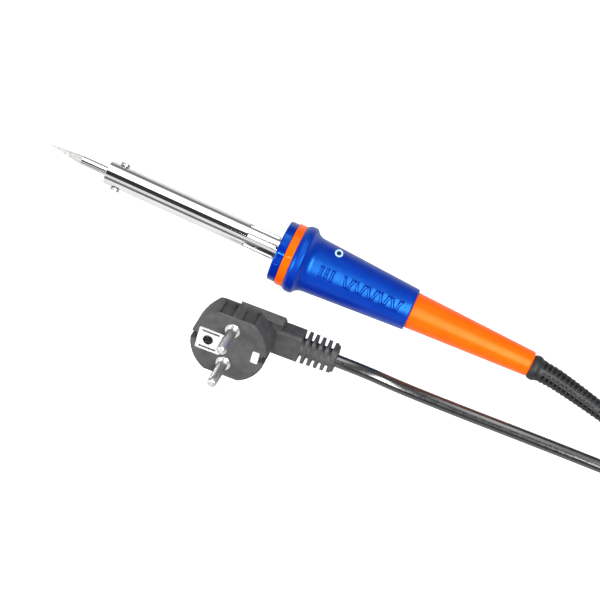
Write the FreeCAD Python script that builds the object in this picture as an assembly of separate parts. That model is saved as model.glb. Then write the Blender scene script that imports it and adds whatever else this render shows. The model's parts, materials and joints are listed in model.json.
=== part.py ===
import FreeCAD, Part
import math
import os
from FreeCAD import Placement, Rotation, Vector

# Soldering iron with its mains lead and earthed plug, in millimetres.
#
# The iron is built about its own axis: x runs along the axis towards the cord, with 0 at the
# front face of the front cap, and +z is the side that carries the moulded panel. It is then
# rolled, tilted and set down so that it lies on its flange and on the strain relief's collar.
# The plug is built about its own face: z along the pins, x along its cable.

# ---- Driving dimensions: barrel, tip and heater --------------------------------------------------
TIP_END = -121.0
TIP_TAIL = -45.0
TIP_R = 2.25
TIP_END_R = 0.75
TIP_TAPER = 17.5
BEVEL_START = 0.2
BEVEL_SLOPE = 0.14
BARREL_FRONT = -90.0
BARREL_REAR = 13.2
BARREL_R = 5.8
BARREL_WALL = 0.5
WINDOW_COUNT = 6
WINDOW_FROM = -17.0
WINDOW_TO = -1.6
WINDOW_WIDTH = 2.45
BUSH_LENGTH = 12.0
SLIDE_GAP = 0.08
CLAMP_SCREW_X = -83.5
CLAMP_SCREW_R = 1.5
CLAMP_HEAD_R = 2.4
CLAMP_HEAD_HEIGHT = 1.4
CLAMP_GAP = 0.1
SCREW_GAP = 0.06
HEATER_FROM = -76.0
HEATER_TO = -28.0
HEATER_WIRE_R = 0.3
HEATER_PITCH = 1.2
MICA = 0.35
CORE_WALL = 0.45

# ---- Driving dimensions: handle ------------------------------------------------------------------
CAP_R = 15.0
CAP_TO = 4.4
RING_R = 15.6
RING_TO = 8.4
SPIGOT_R = 12.9
FLANGE_R = 16.75
FLANGE_RIM_TO = 12.6
GRIP_FRONT_R = 13.55
GRIP_FRONT_X = 18.0
GRIP_REAR_R = 10.4
GRIP_REAR_X = 68.3
GRIP_END = 69.0
GRIP_WALL = 2.4
SHELF_FROM = 13.2
SHELF_TO = 16.0
CABLE_HOLE_R = 3.5
SHEATH_FROM = 88.0
HANDLE_FRONT_R = 9.0
HANDLE_END_R = 6.15
HANDLE_END = 131.0
HANDLE_WALL = 2.0
HANDLE_SPIGOT_R = 8.0
HANDLE_SPIGOT_FROM = 60.0
PANEL_FROM = 32.7
PANEL_TO = 65.8
PANEL_HALF = 3.2
PANEL_TURN = 6.0
PANEL_RAISE = 0.55
LAMP_X = 27.1
LAMP_SIDE = 9.95
LAMP_HEIGHT = 9.48
LAMP_TILT = 25.0
BEZEL_R = 1.95
LENS_R = 1.2
LAMP_POCKET_R = 1.55

# ---- Driving dimensions: strain relief, cord and plug --------------------------------------------
COLLAR_R = 6.2
COLLAR_X = 133.0
CORD_R = 3.15
RELIEF_FRONT_R = 5.35
RELIEF_END_R = 4.1
RELIEF_TAPER = 0.029
COIL_CENTRE = (240.0, -16.3)
COIL_INNER_R = 25.0
COIL_OUTER_R = 49.0
COIL_HEIGHT = 13.0
TIE_ANGLE = 20.0
TIE_WIDTH = 12.0
TIE_THICKNESS = 1.2
PIN_R = 2.4
PIN_LENGTH = 19.0
PIN_SIDE = 9.5
EARTH_HOLE_X = -9.9
EARTH_HOLE_R = 2.5
FACE_R = 18.5
FLAT_SIDE = 16.4
FLAT_DEPTH = 13.5
BACK_DEPTH = 28.5
BACK_SIDE = 4.0
SQUARE_DEPTH = 2.2
NECK_HALF = 7.0
NECK_FRONT = 17.4
NECK_BACK = 28.0
NECK_TO = 30.5
BOOT_TO = 48.3
CABLE_DEPTH = 21.5
BOOT_RIBS = 5
BOOT_PITCH = 3.29

# ---- Where things lie in the row frame -----------------------------------------------------------
IRON_ROLL = 17.4
FLANGE_PLACE_X = -16.0
REST_TILT = math.degrees(math.atan((FLANGE_R - COLLAR_R) / (COLLAR_X - FLANGE_RIM_TO)))
PLUG_FACE = (-29.4, -55.7, 23.55)
PLUG_HEADING = 3.0
PLUG_SLOPE = -1.8
PIN_HEADING = -85.0
PIN_ELEVATION = 39.4

# Strain relief, from the knee just behind its collar to its own end.
RELIEF_ROUTE = [
    (105.44, 0.0, 6.05),
    (127.0, -4.1, 5.05),
    (148.1, -9.57, 4.52),
]
# Lead from the strain relief to the coil, on the table.
IRON_LEAD_ROUTE = [
    (148.1, -9.57, 4.52),
    (164.46, -13.81, 4.11),
    (181.3, -11.0, 3.2),
    (195.7, -1.5, 3.15),
    (204.3, 12.7, 3.15),
]
# Lead from the coil to the plug's boot: down on the table and up at the end.
PLUG_LEAD_ROUTE = [
    (210.8, -49.6, 8.4),
    (198.8, -37.6, 7.5),
    (183.0, -31.2, 4.3),
    (161.0, -31.4, 3.15),
    (119.0, -32.6, 3.15),
    (80.0, -34.1, 3.15),
    (50.0, -35.3, 4.5),
    (31.48, -35.88, 7.94),
    (17.51, -36.61, 8.38),
]

AXIS = Vector(1, 0, 0)
ORIGIN = Vector(0, 0, 0)


# ---- Small tools ---------------------------------------------------------------------------------
def turned(points):
    """Solid of revolution about the x axis from corner points (x, radius)."""
    corners = [Vector(x, 0, r) for x, r in points]
    face = Part.Face(Part.makePolygon(corners + corners[:1]))
    return face.revolve(ORIGIN, AXIS, 360)


def turned_edges(edges):
    """Solid of revolution about the x axis from edges in the xz plane."""
    return Part.Face(Part.Wire(edges)).revolve(ORIGIN, AXIS, 360)


def line(a, b):
    """Straight outline edge between two (x, radius) points."""
    return Part.LineSegment(Vector(a[0], 0, a[1]), Vector(b[0], 0, b[1])).toShape()


def arc(a, middle, b):
    """Outline arc through three (x, radius) points."""
    return Part.Arc(Vector(a[0], 0, a[1]), Vector(middle[0], 0, middle[1]), Vector(b[0], 0, b[1])).toShape()


def rod(start, direction, length, radius):
    """Cylinder from a point along a direction."""
    return Part.makeCylinder(radius, length, Vector(*start), Vector(*direction))


def pipe_x(x_from, x_to, outer, inner):
    """Tube along the x axis."""
    return rod((x_from, 0, 0), AXIS, x_to - x_from, outer).cut(
        rod((x_from - 1, 0, 0), AXIS, x_to - x_from + 2, inner)
    )


def box(low, high):
    """Box between two opposite corners."""
    return Part.makeBox(high[0] - low[0], high[1] - low[1], high[2] - low[2], Vector(*low))


def rounded_box(low, high, radius, along):
    """Box whose four edges along one axis (0, 1 or 2) are rounded."""
    solid = box(low, high)
    edges = []
    for edge in solid.Edges:
        run = edge.Vertexes[1].Point - edge.Vertexes[0].Point
        if abs(run[along]) > 0.5 * run.Length:
            edges.append(edge)
    return solid.makeFillet(radius, edges)


def turn_x(shape, degrees):
    """Copy of a shape turned about the x axis."""
    copy = shape.copy()
    copy.rotate(ORIGIN, AXIS, degrees)
    return copy


def around_x(shape, count, first=0.0):
    """Copies of a shape spaced evenly about the x axis."""
    return [turn_x(shape, first + 360.0 * i / count) for i in range(count)]


def route_wire(points):
    """Straight runs joined by tangent arcs, each as large as its two runs allow, and the radii."""
    corners = [Vector(*p) for p in points]
    edges = []
    radii = []
    start = corners[0]
    for before, corner, after in zip(corners, corners[1:], corners[2:]):
        back = before - corner
        ahead = after - corner
        shorter = min(back.Length, ahead.Length)
        back.normalize()
        ahead.normalize()
        half_turn = (math.pi - back.getAngle(ahead)) / 2
        cut = 0.45 * shorter
        radius = cut / math.tan(half_turn)
        radii.append(round(radius, 1))
        enter = corner + back * cut
        leave = corner + ahead * cut
        inward = back + ahead
        inward.normalize()
        middle = corner + inward * (radius / math.cos(half_turn) - radius)
        edges.append(Part.LineSegment(start, enter).toShape())
        edges.append(Part.Arc(enter, middle, leave).toShape())
        start = leave
    edges.append(Part.LineSegment(start, corners[-1]).toShape())
    return Part.Wire(edges), radii


def swept(points, radius, end_radius=None):
    """Round bar along a route, with an optional different radius at its far end."""
    wire, radii = route_wire(points)
    first = Vector(*points[1]) - Vector(*points[0])
    shell = Part.BRepOffsetAPI.MakePipeShell(wire)
    shell.add(Part.Wire(Part.makeCircle(radius, Vector(*points[0]), first)))
    if end_radius is not None:
        last = Vector(*points[-1]) - Vector(*points[-2])
        shell.add(Part.Wire(Part.makeCircle(end_radius, Vector(*points[-1]), last)))
    shell.build()
    shell.makeSolid()
    return shell.shape(), wire.Length, radii


def iron_place():
    """Placement that lays the iron, built about its own axis, on the table."""
    tilt = math.radians(REST_TILT)
    roll = Placement(ORIGIN, Rotation(AXIS, IRON_ROLL))
    lean = Placement(ORIGIN, Rotation(Vector(0, 1, 0), REST_TILT))
    axis_height = FLANGE_R * math.cos(tilt)
    shift = Vector(
        FLANGE_PLACE_X - FLANGE_RIM_TO * math.cos(tilt), 0, axis_height + FLANGE_RIM_TO * math.sin(tilt)
    )
    return Placement(shift, Rotation()).multiply(lean).multiply(roll)


def heading_vector(heading, elevation):
    """Unit vector from a compass heading about z and an elevation, in degrees."""
    flat = math.cos(math.radians(elevation))
    return Vector(
        flat * math.cos(math.radians(heading)),
        flat * math.sin(math.radians(heading)),
        math.sin(math.radians(elevation)),
    )


def plug_place():
    """Placement of the plug: its x along the cable, its z along the pins."""
    along = heading_vector(PLUG_HEADING, PLUG_SLOPE)
    pins = heading_vector(PIN_HEADING, PIN_ELEVATION)
    return Placement(Vector(*PLUG_FACE), Rotation(along, pins.cross(along), pins, "XZY"))


# ---- Barrel, tip and clamp screws ----------------------------------------------------------------
def soldering_tip():
    """Round rod with a long taper, ground to a bevel on the -y side."""
    taper_from = TIP_END + TIP_TAPER
    body = turned([
        (TIP_END, 0), (TIP_END, TIP_END_R - 0.25), (TIP_END + 0.3, TIP_END_R), (taper_from, TIP_R),
        (TIP_TAIL - 0.6, TIP_R), (TIP_TAIL, TIP_R - 0.6), (TIP_TAIL, 0),
    ])
    low = -2 * TIP_R
    reach = TIP_TAPER + 1
    corners = [
        Vector(TIP_END - 1, BEVEL_START + BEVEL_SLOPE, -5),
        Vector(TIP_END + reach, BEVEL_START - BEVEL_SLOPE * reach, -5),
        Vector(TIP_END + reach, low, -5),
        Vector(TIP_END - 1, low, -5),
    ]
    waste = Part.Face(Part.makePolygon(corners + corners[:1])).extrude(Vector(0, 0, 10))
    return body.cut(waste)


def clamp_screw(side, slot_across):
    """Slotted clamp screw on the +y (side 1) or -y (side -1) side of the barrel's nose."""
    seat = BARREL_R + CLAMP_GAP
    top = seat + CLAMP_HEAD_HEIGHT
    point = TIP_R + CLAMP_GAP
    profile = [
        Vector(0, point, 0), Vector(CLAMP_SCREW_R - 0.3, point, 0), Vector(CLAMP_SCREW_R, point + 0.3, 0),
        Vector(CLAMP_SCREW_R, seat, 0), Vector(CLAMP_HEAD_R, seat, 0), Vector(CLAMP_HEAD_R, top - 0.35, 0),
        Vector(CLAMP_HEAD_R - 0.35, top, 0), Vector(0, top, 0),
    ]
    screw = Part.Face(Part.makePolygon(profile + profile[:1])).revolve(ORIGIN, Vector(0, 1, 0), 360)
    if slot_across:
        slot = box((-0.35, top - 0.8, -3), (0.35, top + 1, 3))
    else:
        slot = box((-3, top - 0.8, -0.35), (3, top + 1, 0.35))
    screw = screw.cut(slot)
    if side < 0:
        screw = turn_x(screw, 180)
    screw.translate(Vector(CLAMP_SCREW_X, 0, 0))
    return screw


def clamp_holes(radius):
    """Both screw holes through the nose."""
    return rod((CLAMP_SCREW_X, -10, 0), (0, 1, 0), 20, radius)


def nose_bush():
    """Plug in the barrel's front that guides the tip and holds the clamp screws."""
    bore = TIP_R + SLIDE_GAP
    outer = BARREL_R - BARREL_WALL
    rear = BARREL_FRONT + BUSH_LENGTH
    bush = turned([
        (BARREL_FRONT, bore + 0.3), (BARREL_FRONT, outer), (rear, outer), (rear, bore),
        (BARREL_FRONT + 0.3, bore),
    ])
    return bush.cut(clamp_holes(CLAMP_SCREW_R + SCREW_GAP))


def barrel():
    """Stainless tube with cooling windows at its rear and screw holes at its nose."""
    inner = BARREL_R - BARREL_WALL
    tube = turned([
        (BARREL_FRONT, inner), (BARREL_FRONT, BARREL_R - 0.3), (BARREL_FRONT + 0.3, BARREL_R),
        (BARREL_REAR, BARREL_R), (BARREL_REAR, inner),
    ])
    half = WINDOW_WIDTH / 2
    window = rounded_box((WINDOW_FROM, -half, 2.5), (WINDOW_TO, half, BARREL_R + 2), 0.7, 2)
    for opening in around_x(window, WINDOW_COUNT):
        tube = tube.cut(opening)
    return tube.cut(clamp_holes(CLAMP_SCREW_R + 0.35))


def heater_core_tube():
    """Thin tube that the tip slides in and the heater is wound on."""
    bore = TIP_R + SLIDE_GAP
    return pipe_x(BARREL_FRONT + BUSH_LENGTH, HEATER_TO + 2, bore + CORE_WALL, bore)


def mica_sleeve(inner):
    """Mica wrap round the heater."""
    return pipe_x(HEATER_FROM, HEATER_TO, inner + MICA, inner)


def heater_winding(inner):
    """Close-wound heating wire: one ridge per turn."""
    turns = int((HEATER_TO - HEATER_FROM - 4) / HEATER_PITCH)
    crest = inner + 2 * HEATER_WIRE_R
    x = HEATER_FROM + 2
    edges = []
    start = (x, inner)
    edges.append(line(start, (x, inner + HEATER_WIRE_R)))
    for _ in range(turns):
        valley = (x, inner + HEATER_WIRE_R)
        x += HEATER_PITCH
        edges.append(arc(valley, (x - HEATER_PITCH / 2, crest), (x, inner + HEATER_WIRE_R)))
    edges.append(line((x, inner + HEATER_WIRE_R), (x, inner)))
    edges.append(line((x, inner), start))
    return turned_edges(edges)


def ceramic_lead_tubes():
    """Two ceramic tubes that carry the heater leads through the barrel."""
    tubes = []
    for side in (-1, 1):
        outer = rod((HEATER_TO + 2.5, side * 2.0, 0), AXIS, 52, 1.25)
        tubes.append(outer.cut(rod((HEATER_TO, side * 2.0, 0), AXIS, 60, 0.55)))
    return Part.makeCompound(tubes)


def heater_leads():
    """Two nickel wires from the heater to the terminal block."""
    wires = []
    for side in (-1, 1):
        route = [
            (HEATER_TO + 2.2, side * 2.0, 0), (28.0, side * 2.0, 0), (33.0, side * 2.6, 0.2),
            (38.0, side * 4.5, 0.0), (43.0, side * 5.0, 0.0),
        ]
        wires.append(swept(route, 0.45)[0])
    return Part.makeCompound(wires)


def barrel_flange():
    """Steel disc on the barrel's rear, screwed to the grip's shelf."""
    disc = pipe_x(SHELF_FROM - 1.2, SHELF_FROM, 10.6, BARREL_R)
    for hole in flange_screw_rods(SHELF_FROM - 3, 5, 1.35):
        disc = disc.cut(hole)
    return disc


def flange_screw_rods(x_from, length, radius):
    """Three rods at the flange screws' places."""
    return around_x(rod((x_from, 0, 8.6), AXIS, length, radius), 3, 30)


def flange_screws():
    """Three pan-head screws through the barrel flange."""
    head_x = SHELF_FROM - 1.2
    head = rod((head_x - 1.3, 0, 8.6), AXIS, 1.3, 1.9)
    shank = rod((head_x, 0, 8.6), AXIS, 7.5, 1.1)
    slot = box((head_x - 2, -2, 8.35), (head_x - 0.7, 2, 8.85))
    screw = head.fuse(shank).cut(slot)
    return Part.makeCompound(around_x(screw, 3, 30))


# ---- Handle --------------------------------------------------------------------------------------
def front_cap():
    """Blue disc at the front, with a spigot that the guard ring and the grip sit on."""
    bore = BARREL_R + 0.1
    edges = [
        line((0, bore), (0, CAP_R - 0.9)),
        arc((0, CAP_R - 0.9), (0.26, CAP_R - 0.26), (0.9, CAP_R)),
        line((0.9, CAP_R), (CAP_TO - 0.3, CAP_R)),
        line((CAP_TO - 0.3, CAP_R), (CAP_TO, CAP_R - 0.3)),
        line((CAP_TO, CAP_R - 0.3), (CAP_TO, SPIGOT_R)),
        line((CAP_TO, SPIGOT_R), (SHELF_FROM, SPIGOT_R)),
        line((SHELF_FROM, SPIGOT_R), (SHELF_FROM, SPIGOT_R - 1.9)),
        line((SHELF_FROM, SPIGOT_R - 1.9), (3.2, SPIGOT_R - 1.9)),
        line((3.2, SPIGOT_R - 1.9), (3.2, bore)),
        line((3.2, bore), (0, bore)),
    ]
    return turned_edges(edges)


def guard_ring():
    """Orange ring between the front cap and the grip."""
    soft = 0.5
    edges = [
        line((CAP_TO, SPIGOT_R), (CAP_TO, RING_R - soft)),
        arc((CAP_TO, RING_R - soft), (CAP_TO + 0.15, RING_R - 0.15), (CAP_TO + soft, RING_R)),
        line((CAP_TO + soft, RING_R), (RING_TO - soft, RING_R)),
        arc((RING_TO - soft, RING_R), (RING_TO - 0.15, RING_R - 0.15), (RING_TO, RING_R - soft)),
        line((RING_TO, RING_R - soft), (RING_TO, SPIGOT_R)),
        line((RING_TO, SPIGOT_R), (CAP_TO, SPIGOT_R)),
    ]
    return turned_edges(edges)


def grip_radius(x):
    """Outer radius of the grip's cone."""
    return GRIP_FRONT_R + (GRIP_REAR_R - GRIP_FRONT_R) * (x - GRIP_FRONT_X) / (GRIP_REAR_X - GRIP_FRONT_X)


def cone_layer(x_from, x_to, below, above):
    """Layer that follows the grip's cone, from a depth below it to a height above it."""
    return turned([
        (x_from, grip_radius(x_from) - below), (x_from, grip_radius(x_from) + above),
        (x_to, grip_radius(x_to) + above), (x_to, grip_radius(x_to) - below),
    ])


def slanted_bar(x, lean, half_length, width):
    """Bar across the panel side, leaning along x, with sides that slope in towards its top."""
    outlines = []
    for height, spare in ((-0.6, 0.7), (PANEL_RAISE + 0.1, -0.55)):
        z = grip_radius(x + width / 2) + height
        end = half_length + spare
        corners = [
            Vector(x - lean - spare, -end, z), Vector(x - lean + width + spare, -end, z),
            Vector(x + lean + width + spare, end, z), Vector(x + lean - spare, end, z),
        ]
        outlines.append(Part.makePolygon(corners + corners[:1]))
    return Part.makeLoft(outlines, True, True)


def panel_ribs():
    """Plain slanted ribs inside the panel and three short bars in front of it."""
    bars = []
    pitch = 3.05
    count = 10
    for i in range(count):
        lean = 0.7 if i % 2 else -0.7
        bars.append(slanted_bar(PANEL_FROM + 1.9 + i * pitch, lean, PANEL_HALF - 0.95, 1.4))
    for x in (22.4, 25.2, 28.0):
        bars.append(slanted_bar(x, 0, 2.4, 1.3))
    layer = cone_layer(20, PANEL_TO + 1, 0.4, PANEL_RAISE)
    return [turn_x(layer.common(bar), PANEL_TURN) for bar in bars]


def panel_groove():
    """Shallow rectangular groove that frames the ribs."""
    width = 0.45
    outer = box((PANEL_FROM, -PANEL_HALF, 6), (PANEL_TO, PANEL_HALF, 18))
    inner = box((PANEL_FROM + width, -PANEL_HALF + width, 5), (PANEL_TO - width, PANEL_HALF - width, 19))
    layer = cone_layer(PANEL_FROM - 1, PANEL_TO + 1, 0.35, 1)
    return turn_x(layer.common(outer.cut(inner)), PANEL_TURN)


def lamp_rod(depth, length, radius):
    """Rod on the lamp's axis; depth is measured inwards from the bezel's top."""
    tilt = math.radians(LAMP_TILT)
    outward = Vector(0, math.sin(tilt), math.cos(tilt))
    top = Vector(LAMP_X, LAMP_SIDE, LAMP_HEIGHT)
    start = top - outward * (depth + length)
    return Part.makeCylinder(radius, length, start, outward)


def grip_sleeve():
    """Blue grip: rounded flange, flare and long cone, hollow, with a shelf for the barrel."""
    inner_front = GRIP_FRONT_R - GRIP_WALL
    inner_rear = GRIP_REAR_R - GRIP_WALL
    rear_wall = GRIP_END - 5
    edges = [
        line((RING_TO, SPIGOT_R), (RING_TO, 15.6)),
        arc((RING_TO, 15.6), (9.5, 16.4), (11.3, FLANGE_R)),
        line((11.3, FLANGE_R), (FLANGE_RIM_TO, FLANGE_R)),
        arc((FLANGE_RIM_TO, FLANGE_R), (13.3, 16.5), (13.8, 16.0)),
        arc((13.8, 16.0), (15.5, 14.35), (GRIP_FRONT_X, GRIP_FRONT_R)),
        line((GRIP_FRONT_X, GRIP_FRONT_R), (GRIP_REAR_X, GRIP_REAR_R)),
        arc((GRIP_REAR_X, GRIP_REAR_R), (68.75, 10.2), (GRIP_END, 9.75)),
        line((GRIP_END, 9.75), (GRIP_END, HANDLE_SPIGOT_R)),
        line((GRIP_END, HANDLE_SPIGOT_R), (rear_wall, HANDLE_SPIGOT_R)),
        line((rear_wall, HANDLE_SPIGOT_R), (rear_wall - 0.5, inner_rear + 0.2)),
        line((rear_wall - 0.5, inner_rear + 0.2), (SHELF_TO + 1.5, inner_front)),
        line((SHELF_TO + 1.5, inner_front), (SHELF_TO, 7.0)),
        line((SHELF_TO, 7.0), (SHELF_FROM, 7.0)),
        line((SHELF_FROM, 7.0), (SHELF_FROM, SPIGOT_R)),
        line((SHELF_FROM, SPIGOT_R), (RING_TO, SPIGOT_R)),
    ]
    sleeve = turned_edges(edges)
    for boss in flange_screw_rods(SHELF_FROM + 0.5, 6.5, 2.3):
        sleeve = sleeve.fuse(boss)
    for hole in flange_screw_rods(SHELF_FROM - 1, 7.3, 1.1):
        sleeve = sleeve.cut(hole)
    sleeve = sleeve.cut(panel_groove())
    for rib in panel_ribs():
        sleeve = sleeve.fuse(rib)
    sleeve = sleeve.cut(lamp_rod(-3, 9.5, BEZEL_R))
    return sleeve.removeSplitter()


def handle_radius(x):
    """Outer radius of the rear handle's cone."""
    return HANDLE_FRONT_R + (HANDLE_END_R - HANDLE_FRONT_R) * (x - GRIP_END) / (HANDLE_END - GRIP_END)


def rear_handle():
    """Orange rear handle: long hollow cone with a spigot that sits in the grip."""
    bore = HANDLE_FRONT_R - 2.6
    end_wall = HANDLE_END - 5
    step = GRIP_END - 4.6
    loose = HANDLE_SPIGOT_R - 0.35
    lip = GRIP_END + 0.3
    crown = HANDLE_END - 1.1
    throat = (end_wall - 1.2, handle_radius(end_wall) - HANDLE_WALL)
    edges = [
        line((HANDLE_SPIGOT_FROM, bore), (HANDLE_SPIGOT_FROM, loose)),
        line((HANDLE_SPIGOT_FROM, loose), (step, loose)),
        line((step, loose), (step + 0.2, HANDLE_SPIGOT_R)),
        line((step + 0.2, HANDLE_SPIGOT_R), (GRIP_END, HANDLE_SPIGOT_R)),
        line((GRIP_END, HANDLE_SPIGOT_R), (GRIP_END, HANDLE_FRONT_R - 0.3)),
        line((GRIP_END, HANDLE_FRONT_R - 0.3), (lip, handle_radius(lip))),
        line((lip, handle_radius(lip)), (crown, handle_radius(crown))),
        arc((crown, handle_radius(crown)), (HANDLE_END - 0.3, 5.85), (HANDLE_END, 5.1)),
        line((HANDLE_END, 5.1), (HANDLE_END, CABLE_HOLE_R)),
        line((HANDLE_END, CABLE_HOLE_R), (end_wall, CABLE_HOLE_R)),
        line((end_wall, CABLE_HOLE_R), throat),
        line(throat, (GRIP_END, bore)),
        line((GRIP_END, bore), (HANDLE_SPIGOT_FROM, bore)),
    ]
    return turned_edges(edges)


def indicator_bezel():
    """Pale ring that stands a little proud of the grip round the lens."""
    ring = lamp_rod(0, 6.0, BEZEL_R).cut(lamp_rod(-1, 9, LENS_R))
    return ring.cut(lamp_rod(3.0, 5, LAMP_POCKET_R))


def indicator_lens():
    """Dark lens in the bezel's centre."""
    return lamp_rod(0.25, 2.75, LENS_R)


def neon_lamp():
    """Small glow lamp behind the lens."""
    tube = lamp_rod(3.1, 5.5, 1.4)
    return tube.makeFillet(0.6, [edge for edge in tube.Edges if edge.Curve.TypeId == "Part::GeomCircle"])


def lamp_resistor():
    """Series resistor of the lamp."""
    body = rod((33.5, 2.0, 7.3), AXIS, 6.0, 0.95)
    return body.makeFillet(0.4, [edge for edge in body.Edges if edge.Curve.TypeId == "Part::GeomCircle"])


def lamp_leads():
    """Two bare wires: lamp to resistor, and resistor to the terminal block."""
    first = [
        (LAMP_X + 0.5, 6.2, 1.65), (LAMP_X + 0.8, 5.2, 0.6), (29.6, 2.0, 6.4), (31.6, 2.0, 7.3),
        (33.5, 2.0, 7.3),
    ]
    second = [(39.5, 2.0, 7.3), (41.5, 2.0, 7.3), (43.6, 0.8, 6.4), (44.6, 0.4, 4.9)]
    return Part.makeCompound([swept(route, 0.2)[0] for route in (first, second)])


# ---- Wiring inside the handle --------------------------------------------------------------------
TERMINAL_SIDES = (-5.0, 0.0, 5.0)


def terminal_block():
    """Moulded three-way terminal block."""
    body = rounded_box((42.0, -7.4, -3.4), (55.0, 7.4, 2.6), 0.8, 0)
    for side in TERMINAL_SIDES:
        body = body.cut(rod((41, side, 0), AXIS, 15, 1.75))
        body = body.cut(rod((45.5, side, 0), (0, 0, 1), 5, 1.3))
        body = body.cut(rod((51.5, side, 0), (0, 0, 1), 5, 1.3))
    return body


def terminal_inserts():
    """Three brass tubes with two tapped holes each."""
    inserts = []
    for side in TERMINAL_SIDES:
        tube = rod((43.0, side, 0), AXIS, 11, 1.75).cut(rod((42, side, 0), AXIS, 13, 1.05))
        for x in (45.5, 51.5):
            tube = tube.cut(rod((x, side, 0.4), (0, 0, 1), 3, 0.9))
        inserts.append(tube)
    return Part.makeCompound(inserts)


def terminal_screws():
    """Six slotted grub screws of the terminal block."""
    screws = []
    for side in TERMINAL_SIDES:
        for x in (45.5, 51.5):
            shank = rod((x, side, 1.1), (0, 0, 1), 0.8, 0.85)
            head = rod((x, side, 1.8), (0, 0, 1), 1.1, 1.25)
            slot = box((x - 2, side - 0.2, 2.4), (x + 2, side + 0.2, 4))
            screws.append(shank.fuse(head).cut(slot))
    return Part.makeCompound(screws)


def earth_lead():
    """Wire from the barrel flange to the middle terminal."""
    route = [
        (SHELF_TO + 0.3, 0, -6.2), (24.0, 0, -6.2), (31.0, 0, -4.6), (38.0, 0, -0.6), (43.0, 0, 0),
        (46.5, 0, 0),
    ]
    return swept(route, 0.55)[0]


def cord_core(side):
    """Insulated core from the lead's sheath to one terminal."""
    middle = 0.95
    start = {-1: (-middle, -0.55), 0: (0.0, 1.1), 1: (middle, -0.55)}[side]
    route = [
        (SHEATH_FROM, start[0], start[1]), (80.0, start[0], start[1]), (70.0, side * 2.4, start[1] * 0.5),
        (61.5, side * 5.0, 0.0), (50.0, side * 5.0, 0.0),
    ]
    if side == 0:
        route = [(SHEATH_FROM, 0, 1.1), (76.0, 0, 1.1), (62.0, 0, 0.0), (50.0, 0, 0.0)]
    return swept(route, 0.9)[0]


def cord_clamp():
    """Two-screw saddle that grips the sheath inside the rear handle."""
    saddle = box((96.0, -5.0, 0.75), (103.0, 5.0, 4.45))
    saddle = saddle.cut(rod((95, 0, 0), AXIS, 9, CORD_R))
    saddle = saddle.common(rod((95, 0, 0), AXIS, 9, 5.05))
    for side in (-1, 1):
        saddle = saddle.cut(rod((99.5, side * 4.0, -5), (0, 0, 1), 12, 0.65))
    return saddle


def clamp_saddle_screws():
    """Two small screws that hold the cord clamp down."""
    screws = []
    for side in (-1, 1):
        screws.append(rod((99.5, side * 4.0, -2.0), (0, 0, 1), 4.0, 0.6))
    return Part.makeCompound(screws)


# ---- Strain relief and sheath, in the row frame --------------------------------------------------
def sheath_route():
    """Route of the sheath: along the iron's axis, then through the strain relief."""
    return [tuple(iron_place().multVec(Vector(SHEATH_FROM, 0, 0)))] + RELIEF_ROUTE


def sheath_end():
    """Lead's sheath from inside the handle to the end of the strain relief."""
    return swept(sheath_route(), CORD_R)[0]


def strain_relief():
    """Flexible sleeve: a round collar, then a long taper that levels out on the table."""
    place = iron_place()
    front = HANDLE_END + 5.0
    start_r = RELIEF_FRONT_R + (front - SHEATH_FROM) * RELIEF_TAPER
    inside = rod((SHEATH_FROM - 5, 0, 0), AXIS, front - 0.5 - SHEATH_FROM + 5, 12)
    inside.Placement = place
    sleeve = swept(sheath_route(), start_r, RELIEF_END_R)[0].cut(inside)
    collar = turned_edges([
        line((HANDLE_END, 0), (HANDLE_END, 5.6)),
        arc((HANDLE_END, 5.6), (COLLAR_X, COLLAR_R - 0.06), (front - 1.0, 5.85)),
        line((front - 1.0, 5.85), (front, RELIEF_FRONT_R)),
        line((front, RELIEF_FRONT_R), (front, 0)),
        line((front, 0), (HANDLE_END, 0)),
    ])
    collar.Placement = place
    return collar.fuse(sleeve).cut(sheath_end()).removeSplitter()


# ---- Cord ----------------------------------------------------------------------------------------
def cord_tube(name, points):
    """One free stretch of the lead, with its radii and volume test printed."""
    solid, length, radii = swept(points, CORD_R)
    expected = math.pi * CORD_R**2 * length
    print(name, "length", round(length, 1), "radii", radii, "volume ratio", round(solid.Volume / expected, 4))
    return solid


def coil_section(grow, top):
    """Outline of the coil's round section in the xz plane: flat below, rounded above."""
    soft = 3.0 + grow
    inner = COIL_INNER_R - grow
    outer = COIL_OUTER_R + grow
    bend = soft * (1 - math.sqrt(0.5))
    return [
        line((inner, 0), (outer, 0)),
        line((outer, 0), (outer, top - soft)),
        arc((outer, top - soft), (outer - bend, top - bend), (outer - soft, top)),
        line((outer - soft, top), (inner + soft, top)),
        arc((inner + soft, top), (inner + bend, top - bend), (inner, top - soft)),
        line((inner, top - soft), (inner, 0)),
    ]


def coil_ring(grow, top):
    """Ring of the coil's section, larger by grow on its sides."""
    face = Part.Face(Part.Wire(coil_section(grow, top)))
    ring = face.revolve(ORIGIN, Vector(0, 0, 1), 360)
    ring.translate(Vector(COIL_CENTRE[0], COIL_CENTRE[1], 0))
    return ring


def tie_block():
    """Block that cuts one slice out of the coil, for the tie."""
    block = box((COIL_INNER_R - 5, -TIE_WIDTH / 2, -1), (COIL_OUTER_R + 5, TIE_WIDTH / 2, COIL_HEIGHT + 5))
    block.rotate(ORIGIN, Vector(0, 0, 1), TIE_ANGLE)
    block.translate(Vector(COIL_CENTRE[0], COIL_CENTRE[1], 0))
    return block


def cord_coil():
    """Outer shape of the coiled length, thinner where the tie goes round it."""
    slim = coil_ring(-TIE_THICKNESS, COIL_HEIGHT - TIE_THICKNESS)
    slim.translate(Vector(0, 0, TIE_THICKNESS / 2))
    ring = coil_ring(0, COIL_HEIGHT).cut(tie_block())
    return ring.fuse(slim.common(tie_block())).removeSplitter()


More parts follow.
